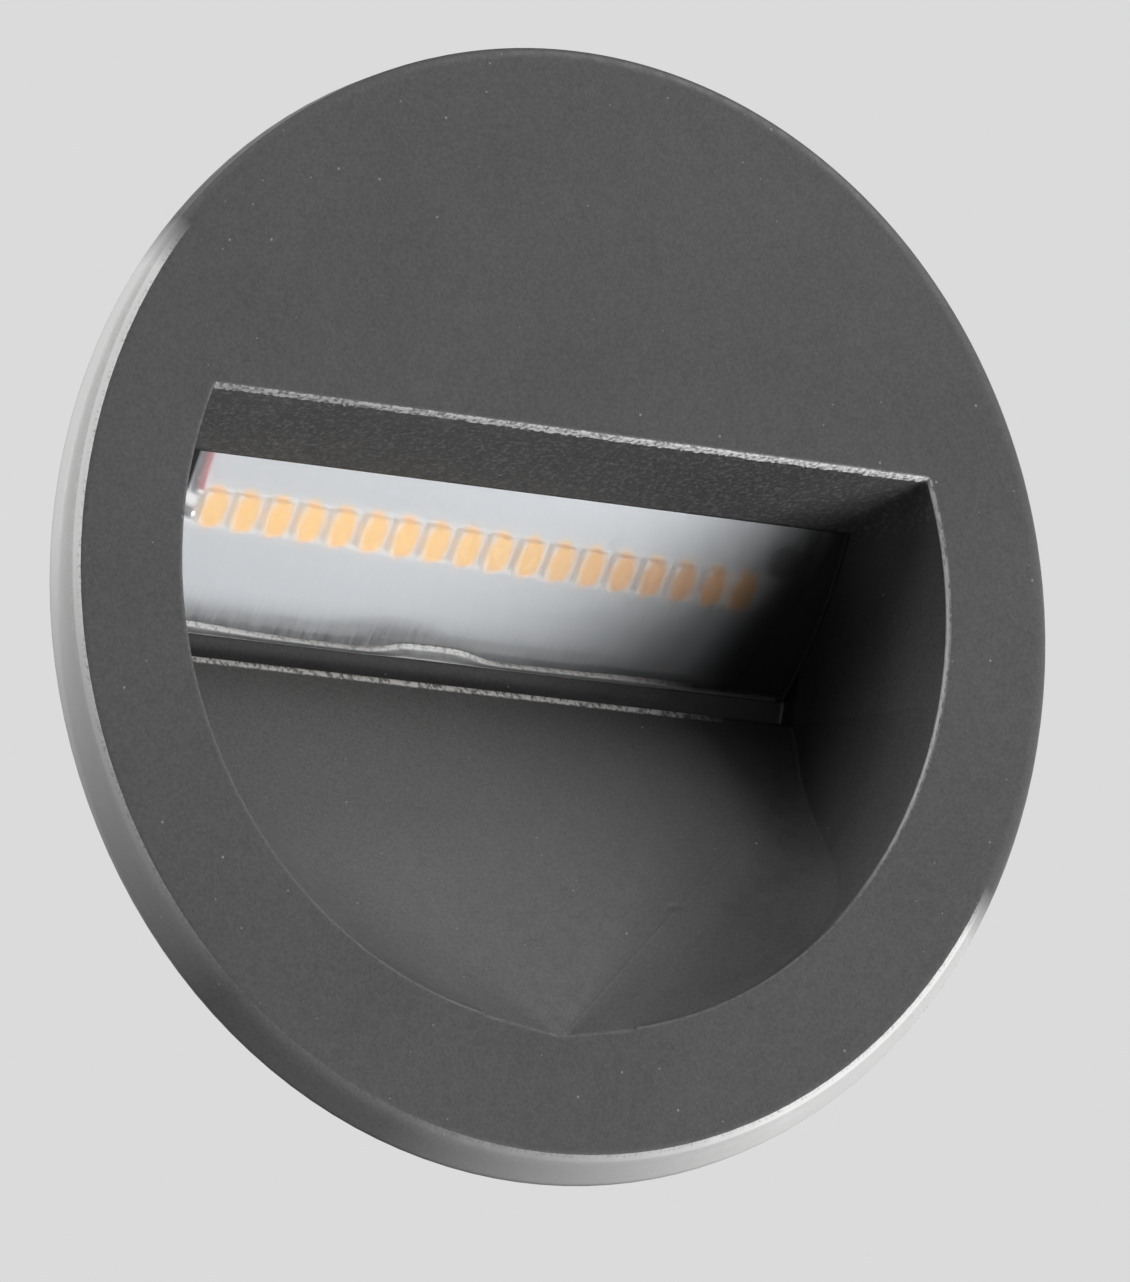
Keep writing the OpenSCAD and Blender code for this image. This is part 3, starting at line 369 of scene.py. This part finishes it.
def powder_coat():
    """Fine textured anthracite coat with wear and painted highlights along the edges, painted
    pocket shade and a painted rim sheen.
    """
    look = Look("powder_coat", (0.0542, 0.0545, 0.0548), 0.5, Specular_IOR_Level=0.35)
    grain = look.noise(3000, 3, 0.6)
    cloud = look.noise(55, 3, 0.55)
    shade = look.math("ADD", look.times(grain, 0.75), look.times(cloud, 0.25))
    base = look.shade(0.70, 1.32, look.span(shade, 0.3, 0.7, 0, 1))
    y, z = (look.place(axis) for axis in "YZ")
    radius = look.radius()
    inner = look.under(radius, INSIDE_R)
    # The pocket's coat is scaled by the painted light and shade.
    spread = look.add("VectorMath", {"operation": "SCALE"}, Vector=base)
    look.set(spread, "Scale", painted_pocket_shading(look))
    base = look.mix(inner, base, spread.outputs[0])
    # A few pale specks of dust.
    dust = look.math("ADD", look.spots(400, 0.075, 0.3), look.spots(900, 0.1, 0.06), clamp=True)
    base = look.mix(look.times(dust, 0.45), base, (0.36, 0.36, 0.35))
    # The ceiling's grain shows lighter specks.
    specks = look.span(look.noise(2000, 2, 0.6, look.stretched((1, 0.8, 1))), 0.5, 0.66, 0, 0.55)
    ceiling = look.times(look.span(z, *CEILING_Z, 0, 1), inner, look.over(y, FACE_Y + 0.1 * MM))
    base = look.mix(look.times(specks, ceiling), base, (0.14, 0.14, 0.14))
    rounded, edge = look.edges(0.7 * MM)
    normal_y = look.place("Y", look.add("NewGeometry").outputs["True Normal"])
    # Wear and painted highlights along the opening's edges.
    bands = look.times(worn_and_highlit_bands(look, normal_y), look.under(radius, BANDS_R))
    wear_and_highlight = look.math("MAXIMUM", edge_wear_and_highlight(look, edge, inner), bands)
    base = look.mix(look.times(wear_and_highlight, 0.95), base, WORN_AND_HIGHLIT_METAL)
    base = painted_rim_sheen(look, base, grain, radius, normal_y)
    look.set(look.shader, "Base Color", base)
    look.set(look.shader, "Roughness", look.span(look.noise(700, 2), 0.3, 0.7, 0.42, 0.56))
    height = look.math("ADD", grain, look.times(look.noise(900, 2), 0.5))
    look.set(look.shader, "Normal", look.bump(height, 0.35, 0.05 * MM, soft_floor(look, rounded)))
    return look


# The window: heights of the painted shade at its foot, and where painted shadow turns its right
# end and left corner black.
FOOT_Z = (-2 * MM, 2.5 * MM)
BLACK_RIGHT_X = (33.5 * MM, 42 * MM)
BLACK_LEAN = 0.43
BLACK_LEAN_Z = 12.8 * MM
BLACK_LEFT_X = (-37.1 * MM, -36.8 * MM)
BLACK_LEFT_Z = (10.9 * MM, 11.3 * MM)


def satin_glass():
    """Satin glass: rough refraction, faint streaks, painted shade at its foot and to the right,
    painted shadow at its ends.
    """
    look = Look("satin_glass", (0.96, 0.97, 0.975), 0.25, Transmission_Weight=1.0, IOR=1.2)
    streaks = look.noise(2600, 2, 0.6, look.turned((WINDOW_TILT, 0.12, 0), (1, 1, 9)))
    strength = look.span(streaks, 0.3, 0.7, 0, 1)
    look.set(look.shader, "Roughness", look.span(strength, 0, 1, 0.31, 0.35))
    x, z = (look.place(axis) for axis in "XZ")
    # Painted shade: a darker, heavier veil at the foot, and less veil towards the right.
    foot = look.span(z, *FOOT_Z, 1, 0)
    pale = look.mix(strength, (0.65, 0.67, 0.70), (0.83, 0.855, 0.89))
    low = look.mix(strength, (0.11, 0.115, 0.12), (0.33, 0.335, 0.34))
    veil = look.add("BsdfDiffuse", Color=look.mix(foot, pale, low))
    haze_and_shade = look.span(foot, 0, 1, 0.14, 0.62)
    haze_and_shade = look.math("ADD", haze_and_shade, look.span(strength, 0, 1, -0.03, 0.045))
    haze_and_shade = look.times(haze_and_shade, look.span(x, 0, 30 * MM, 1, 0.55))
    # Painted shadow: the right end turns black towards its foot, the left end only at its upper
    # corner.
    lean = look.times(look.math("SUBTRACT", z, BLACK_LEAN_Z), BLACK_LEAN)
    right = look.span(look.math("SUBTRACT", x, lean), *BLACK_RIGHT_X, 0, 1, "SMOOTHSTEP")
    left = look.times(look.span(x, *BLACK_LEFT_X, 1, 0), look.span(z, *BLACK_LEFT_Z, 0, 1))
    black = look.add("BsdfDiffuse", Color=(0.035, 0.035, 0.037, 1))
    clear = look.add("BsdfTransparent", Color=(0.92, 0.93, 0.94, 1))
    ended = look.blend(look.math("MAXIMUM", right, left), look.blend(haze_and_shade, look.shader, veil),
                       black)
    # Light on its way to and from the board passes straight through.
    path = look.add("LightPath").outputs
    passing = look.math("MAXIMUM", path["Is Shadow Ray"], path["Is Diffuse Ray"])
    look.set(look.output, "Surface", look.blend(passing, ended, clear).outputs[0])
    return look


def plain(name, color, roughness, grain=1500, variation=0.12, bump=0.2, depth=0.03, metallic=0.0,
          **sockets):
    """A moulded, rubber or painted surface: grain in colour, roughness and height."""
    look = Look(name, color, roughness, metallic, **sockets)
    fine = look.noise(grain, 3, 0.55)
    broad = look.noise(grain / 30, 2)
    both = look.math("ADD", look.times(fine, 0.6), look.times(broad, 0.4))
    spread = look.span(both, 0.3, 0.7, 0, 1)
    look.set(look.shader, "Base Color", look.shade(1 - variation, 1 + variation, spread))
    look.set(look.shader, "Roughness", look.span(broad, 0.3, 0.7, roughness * 0.85,
                                                 min(1.0, roughness * 1.15)))
    look.set(look.shader, "Normal", look.bump(fine, bump, depth * MM))
    return look


def brushed(name, color, roughness, stretch, **sockets):
    """Rolled or drawn metal, with fine lines along one axis."""
    look = Look(name, color, roughness, 1.0, **sockets)
    lines = look.noise(2200, 3, 0.6, look.stretched(stretch))
    patches = look.noise(160, 3, 0.6)
    look.set(look.shader, "Base Color", look.shade(0.82, 1.12, look.span(patches, 0.3, 0.7, 0, 1)))
    look.set(look.shader, "Roughness", look.span(lines, 0.3, 0.7, roughness * 0.75,
                                                 roughness * 1.3))
    look.set(look.shader, "Normal", look.bump(lines, 0.15, 0.02 * MM))
    return look


def led_white(name, color):
    """White plastic or solder mask with fine specks."""
    look = Look(name, color, 0.45)
    specks = look.noise(2500, 3, 0.6)
    look.base = look.shade(0.94, 1.04, look.span(specks, 0.3, 0.7, 0, 1))
    look.set(look.shader, "Base Color", look.base)
    look.set(look.shader, "Normal", look.bump(specks, 0.1, 0.02 * MM))
    return look


# The LED row in the window's plane, as in the CAD model.
LED_PITCH = 3.9 * MM
LED_COUNT = 18
LED_ROW_X = 1.8 * MM
LED_ROW_UP = -9.2 * MM
LED_SKEW = math.radians(1.8)
# Half width and half height of the amber oval round each LED, painted onto the board as a glow.
LED_OVAL = (1.5 * MM, 2.8 * MM)
# The painted light on the band of the board between the LEDs: full up to the first height, none
# past the second.
LED_BAND = (1.9 * MM, 2.6 * MM)
AMBER = (0.98, 0.5, 0.06)
AMBER_SHADED = (0.80, 0.31, 0.05)
AMBER_GLOW = (1.0, 0.53, 0.06)
# Strengths of the painted glow on the LED faces and on the board's band.
FACE_GLOW = 0.32
BAND_GLOW = 0.2


def led_place(look):
    """How far a point is from the middle of its LED, along and across the row."""
    across = look.math("SUBTRACT", look.place("X"), LED_ROW_X)
    dot = look.add("VectorMath", {"operation": "DOT_PRODUCT"})
    look.set(dot, 0, look.coords)
    look.set(dot, 1, WINDOW_UP)
    up = look.math("SUBTRACT", dot.outputs["Value"], WINDOW_TOP.dot(WINDOW_UP) + LED_ROW_UP)
    along = look.math("SUBTRACT", look.times(across, math.cos(LED_SKEW)),
                      look.times(up, math.sin(LED_SKEW)))
    tall = look.math("ADD", look.times(across, math.sin(LED_SKEW)),
                     look.times(up, math.cos(LED_SKEW)))
    cell = look.math("ADD", look.math("DIVIDE", along, LED_PITCH), LED_COUNT / 2)
    wide = look.times(look.math("SUBTRACT", look.math("FRACT", cell), 0.5), LED_PITCH)
    return look.math("ABSOLUTE", wide), look.math("ABSOLUTE", tall)


def led_oval(look):
    """1 inside the soft oval of each LED."""
    squares = [look.math("POWER", look.math("DIVIDE", value, size), 2.0)
               for value, size in zip(led_place(look), LED_OVAL)]
    across = look.math("ABSOLUTE", look.math("SUBTRACT", look.place("X"), LED_ROW_X))
    in_row = look.under(across, LED_COUNT * LED_PITCH / 2)
    return look.times(look.span(look.math("ADD", *squares), 0.5, 1.15, 1, 0), in_row)


def painted_glow(look, mask, level):
    """A painted glow on the LEDs and the board, weaker to the right as painted shade."""
    fade = look.span(look.place("X"), -10 * MM, 28 * MM, level, level * 0.1)
    look.set(look.shader, "Emission Strength", look.times(fade, mask))


def phosphor(name):
    """The LED's face: a soft amber oval with painted shade to the right and a painted glow, on a
    pale package.
    """
    look = Look(name, AMBER, 0.5, Emission_Color=(*AMBER_GLOW, 1))
    grains = look.noise(6000, 2, 0.6)
    amber = look.shade(0.93, 1.05, look.span(grains, 0.3, 0.7, 0, 1))
    # Painted shade: the amber darkens to the right.
    amber = look.mix(look.span(look.place("X"), 6 * MM, 26 * MM, 0, 1), amber, AMBER_SHADED)
    oval = led_oval(look)
    look.set(look.shader, "Base Color", look.mix(oval, (0.9, 0.88, 0.86), amber))
    painted_glow(look, look.span(oval, 0, 1, 0.7, 1), FACE_GLOW)
    look.set(look.shader, "Normal", look.bump(grains, 0.1, 0.01 * MM))
    return look


def board_white():
    """White solder mask, with painted light between the LEDs and a painted amber glow around each
    of them.
    """
    look = led_white("white_mask", (0.64, 0.65, 0.66))
    row = look.span(led_place(look)[1], *LED_BAND, 1, 0)
    oval = led_oval(look)
    white = look.mix(row, look.base, (0.8, 0.79, 0.78))
    look.set(look.shader, "Base Color", look.mix(oval, white, AMBER))
    look.set(look.shader, "Emission Color", look.mix(oval, (0.95, 0.93, 0.92), AMBER_GLOW))
    painted_glow(look, look.math("ADD", row, look.times(oval, 0.8)), BAND_GLOW)
    return look


# The sealant's painted highlight along its lip, in millimetres along its section from the glass.
BEAD_HIGHLIGHT = (0.6, 0.82)


def silicone():
    """Translucent grey sealant, with a painted highlight along its lip on the glass and painted
    shade at its right end and lower half.
    """
    look = Look("sealant", (0.26, 0.265, 0.27), 0.35, Subsurface_Weight=0.1,
                Subsurface_Scale=1.0 * MM, Coat_Weight=0.15)
    cloud = look.noise(500, 3, 0.6)
    grey = look.shade(0.7, 1.3, look.span(cloud, 0.3, 0.7, 0, 1))
    section = look.add("TexCoord").outputs["UV"]
    # A painted highlight along the lip, broken in places.
    lip_highlight = look.span(look.place("X", section), *BEAD_HIGHLIGHT, 1, 0)
    breaks = look.span(look.noise(1500, 2, 0.6), 0.38, 0.5, 0.5, 1)
    base = look.mix(look.times(lip_highlight, breaks), grey, (0.9, 0.9, 0.9))
    # Painted shade: its right end and its lower half are dark.
    dark = look.math("MAXIMUM", look.span(look.place("X"), 20 * MM, 31 * MM, 0, 0.96),
                     look.span(look.place("Y", section), 0.5, 0.8, 0, 0.9))
    look.set(look.shader, "Base Color", look.mix(dark, base, (0.02, 0.02, 0.02)))
    look.set(look.shader, "Normal", look.bump(cloud, 0.25, 0.06 * MM))
    return look


# The sealant bead fills the corner between the glass and the riser. Its upper edge is uneven,
# with one swelling, and its surface a little lumpy. Its sizes are in millimetres.
BEAD_HALF_W = 41.4
BEAD_DROP = 0.55
BEAD_LOW = 0.1
BEAD_FAT = 0.16
BEAD_STATIONS = 300
BEAD_ROWS = 12
# The window's lower edge, counted from its upper one, and its glass behind the window's plane.
WINDOW_FOOT = -20.6
GLASS_FACE = 0.5
# Each hump of the bead's edge: height, middle, half width and power of its fall.
BEAD_HUMPS = ((1.08, -2.4, 6, 4), (0.8, -36, 11, 2), (0.2, 24, 7, 2))


def bead_top(x):
    """Height of the bead above the window's foot."""
    ripple = 0.05 * noise.noise(Vector((x * 0.6, 3.1, 0)))
    ripple += 0.03 * noise.noise(Vector((x * 2, 7, 0)))
    top = BEAD_LOW
    for height, middle, width, power in BEAD_HUMPS:
        top += height * math.exp(-((x - middle) / width) ** power)
    return top + ripple


def bead_section(x):
    """The bead's outline as distances up the window and in front of it, glass side first."""
    top = bead_top(x)
    fat = BEAD_FAT + 0.08 * noise.noise(Vector((x * 0.4, 9.7, 0)))
    start = Vector((top, -GLASS_FACE))
    bulge = Vector((0.32 * top, fat))
    end = Vector((-math.cos(WINDOW_TILT), math.sin(WINDOW_TILT))) * BEAD_DROP
    curve = []
    for k in range(BEAD_ROWS + 1):
        t = k / BEAD_ROWS
        curve.append(start * (1 - t) ** 2 + bulge * (2 * t * (1 - t)) + end * t * t)
    return curve + [Vector((-BEAD_LOW, -GLASS_FACE))]


def sealant_bead(look):
    """Sweeps the section along the window's foot and puts the bead in the CAD bead's place."""
    mesh = bmesh.new()
    across = mesh.loops.layers.uv.new("across")
    rings = []
    lengths = []
    for i in range(BEAD_STATIONS + 1):
        x = BEAD_HALF_W * (2 * i / BEAD_STATIONS - 1)
        section = bead_section(x)
        places = [at_window(x * MM, (WINDOW_FOOT + up) * MM, -out * MM) for up, out in section]
        rings.append([mesh.verts.new(place) for place in places])
        run = [0.0]
        for a, b in zip(section, section[1:] + section[:1]):
            run.append(run[-1] + (b - a).length)
        lengths.append(run)
    rows = BEAD_ROWS + 2
    for i in range(BEAD_STATIONS):
        for k in range(rows):
            after = (k + 1) % rows
            face = mesh.faces.new((rings[i][k], rings[i + 1][k], rings[i + 1][after],
                                   rings[i][after]))
            face.smooth = k < BEAD_ROWS
            # U is the length along the section in millimetres, V the share of the section.
            corners = ((i, k), (i + 1, k), (i + 1, k + 1), (i, k + 1))
            for loop, (station, step) in zip(face.loops, corners):
                loop[across].uv = (lengths[station][step], step / BEAD_ROWS)
    mesh.faces.new(rings[0])
    mesh.faces.new(list(reversed(rings[-1])))
    bmesh.ops.recalc_face_normals(mesh, faces=mesh.faces)
    data = bpy.data.meshes.new("sealant_bead")
    mesh.to_mesh(data)
    mesh.free()
    bead = bpy.data.objects.new("sealant_bead", data)
    bpy.context.scene.collection.objects.link(bead)
    data.materials.append(look.material)
    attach(bead, "light_body")
    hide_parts("window_sealant")


powder_coat().use("face_casting")
satin_glass().use("window_glass")
sealant_bead(silicone())
board_white().use("led_board")
phosphor("led_body").use("led_packages")
phosphor("phosphor").use("led_phosphors")
led_white("frame_white", (0.72, 0.73, 0.74)).use("led_frame")
plain("foam", (0.02, 0.02, 0.021), 0.9, grain=1200, variation=0.4, bump=0.7, depth=0.15).use(
    "wall_gasket")
plain("rubber", (0.018, 0.018, 0.019), 0.6, grain=900, variation=0.2).use(
    "window_gasket", "housing_gasket", "gland_washer", "gland_seal")
plain("solder", (0.78, 0.79, 0.8), 0.25, grain=700, metallic=0.9).use("board_solder_joints")
plain("black_screw", (0.02, 0.02, 0.021), 0.45).use("board_screws")
plain("red_lead", (0.55, 0.045, 0.05), 0.4, grain=500).use("lead_red")
plain("black_lead", (0.016, 0.016, 0.017), 0.4, grain=500).use("lead_black")
plain("pad_grey", (0.28, 0.34, 0.38), 0.8).use("thermal_pad")
brushed("spreader_metal", (0.72, 0.73, 0.74), 0.35, (0.03, 1, 1)).use("heat_spreader")
plain("housing_black", (0.033, 0.035, 0.038), 0.55, grain=1400, variation=0.15, bump=0.35,
      depth=0.06).use("rear_housing")
plain("nylon_black", (0.022, 0.022, 0.024), 0.38, grain=900, variation=0.15).use(
    "gland_body", "gland_nut", "gland_locknut", "vent_plug")
brushed("zinc_plate", (0.66, 0.67, 0.69), 0.32, (0.05, 1, 1)).use(
    "clip_bracket_top", "clip_bracket_bottom", "spring_arm_top", "spring_arm_bottom")
brushed("zinc_turned", (0.66, 0.67, 0.68), 0.28, (1, 1, 1)).use(
    "spreader_screws", "housing_screws", "driver_screws", "terminal_fixing_screw", "earth_tag",
    "bracket_screws", "clip_pin_top", "clip_pin_bottom")
brushed("spring_wire", (0.55, 0.56, 0.58), 0.25, (1, 0.1, 0.1)).use(
    "clip_spring_top", "clip_spring_bottom", "spring_leg_top", "spring_leg_bottom")
plain("vinyl_white", (0.74, 0.73, 0.70), 0.5, grain=600, variation=0.05).use(
    "arm_sleeve_top", "arm_sleeve_bottom")
plain("green_mask", (0.02, 0.13, 0.055), 0.3, grain=400).use("driver_board")
plain("capacitor_sleeve", (0.02, 0.022, 0.05), 0.3, grain=400).use("filter_capacitor")
plain("yellow_film", (0.65, 0.38, 0.03), 0.5, grain=700).use("film_capacitor")
plain("ferrite", (0.05, 0.045, 0.04), 0.6, grain=1200).use("transformer")
plain("black_epoxy", (0.014, 0.014, 0.014), 0.55, grain=1500).use("bridge_rectifier")
plain("lacquer_blue", (0.07, 0.27, 0.32), 0.3, grain=700).use("fuse_resistor")
brushed("copper_wire", (0.70, 0.30, 0.14), 0.3, (1, 0.02, 1)).use("choke_coil")
plain("ivory_plastic", (0.78, 0.77, 0.70), 0.5, grain=900, variation=0.05).use("terminal_block")
brushed("brass", (0.78, 0.60, 0.28), 0.3, (1, 1, 1)).use("terminal_screws")
plain("green_lacquer", (0.05, 0.3, 0.08), 0.35, grain=700, metallic=0.4).use("earth_screw")


# The background behind the light, and the weak fill that lights it from all sides.
BACKGROUND = (0.708, 0.708, 0.708)
FILL = (0.9, 0.93, 1.0)
FILL_STRENGTH = 0.03
FLOOR_SIZE = 6
FLOOR_Z = -0.95

# Square lamps round the light, in metres and watts. Azimuth 0 is in front, 90 at its right.
LAMP_DISTANCE = 1.15
LAMPS = (
    ("low_middle", 38, -36, 0.40, 6.7),
    ("low_right", 52, -25, 0.40, 6.0),
    ("high_right", 42, 40, 0.30, 3.9),
    ("side_right", 65, 38, 0.40, 2.4),
    ("high_middle", -20, 55, 0.40, 2.2),
    ("high_left", -62, 45, 0.40, 4.0),
    ("rim_left", -103, 20, 0.55, 12.0),
    ("rim_under", 101, -37, 0.40, 2.4),
)

# Camera of the photograph.
CAMERA_AT = Vector((-430.5, -747.4, -132.8)) * MM
CAMERA_FORWARD = Vector((0.49416, 0.85648, 0.14918))
CAMERA_RIGHT = Vector((0.8632, -0.50378, 0.03297))
CAMERA_SENSOR = 36
CAMERA_LENS = 232.9


def background(tree, color, strength):
    """A plain light of one colour for the world."""
    node = tree.nodes.new("ShaderNodeBackground")
    node.inputs["Color"].default_value = (*color, 1)
    node.inputs["Strength"].default_value = strength
    return node.outputs[0]


def larger(tree, first, second):
    """The larger of two values."""
    node = tree.nodes.new("ShaderNodeMath")
    node.operation = "MAXIMUM"
    tree.links.new(first, node.inputs[0])
    tree.links.new(second, node.inputs[1])
    return node.outputs[0]


def studio_world():
    """The pale background for what the camera sees, also in gloss and glass, and a weak fill."""
    world = bpy.data.worlds.new("studio")
    bpy.context.scene.world = world
    world.use_nodes = True
    tree = world.node_tree
    tree.nodes.clear()
    path = tree.nodes.new("ShaderNodeLightPath").outputs
    shown = larger(tree, path["Is Camera Ray"], path["Is Transmission Ray"])
    shown = larger(tree, shown, path["Is Glossy Ray"])
    mix = tree.nodes.new("ShaderNodeMixShader")
    tree.links.new(shown, mix.inputs[0])
    tree.links.new(background(tree, FILL, FILL_STRENGTH), mix.inputs[1])
    tree.links.new(background(tree, BACKGROUND, 1.0), mix.inputs[2])
    output = tree.nodes.new("ShaderNodeOutputWorld")
    tree.links.new(mix.outputs[0], output.inputs[0])


def studio_floor():
    """A pale floor, which is not part of the object."""
    bpy.ops.mesh.primitive_plane_add(size=FLOOR_SIZE, location=(0, 0, FLOOR_Z))
    floor = bpy.context.object
    floor.name = "studio_floor"
    pale = Look("floor_pale", (0.62, 0.62, 0.62), 0.8)
    pale.set(pale.shader, "Base Color", pale.shade(0.98, 1.02, pale.noise(30, 2)))
    floor.data.materials.append(pale.material)


def round_lamp(name, azimuth, elevation, size, power):
    """A square lamp that looks at the light's middle."""
    a = math.radians(azimuth)
    e = math.radians(elevation)
    way = Vector((math.sin(a) * math.cos(e), -math.cos(a) * math.cos(e), math.sin(e)))
    data = bpy.data.lights.new(name, "AREA")
    data.shape = "RECTANGLE"
    data.size = size
    data.size_y = size
    data.energy = power
    lamp = bpy.data.objects.new(name, data)
    bpy.context.scene.collection.objects.link(lamp)
    lamp.location = way * LAMP_DISTANCE
    lamp.rotation_euler = (-lamp.location).to_track_quat("-Z", "Y").to_euler()


def photo_camera():
    """The camera, at the photograph's place and angle."""
    camera = bpy.data.cameras.new("photo_camera")
    camera.sensor_width = CAMERA_SENSOR
    camera.lens = CAMERA_LENS
    holder = bpy.data.objects.new("photo_camera", camera)
    bpy.context.scene.collection.objects.link(holder)
    up = CAMERA_RIGHT.cross(CAMERA_FORWARD)
    turn = Matrix((CAMERA_RIGHT, up, -CAMERA_FORWARD)).transposed()
    holder.matrix_world = Matrix.Translation(CAMERA_AT) @ turn.to_4x4()
    bpy.context.scene.camera = holder


studio_world()
studio_floor()
for lamp in LAMPS:
    round_lamp(*lamp)
photo_camera()
bpy.context.scene.view_settings.view_transform = "Standard"
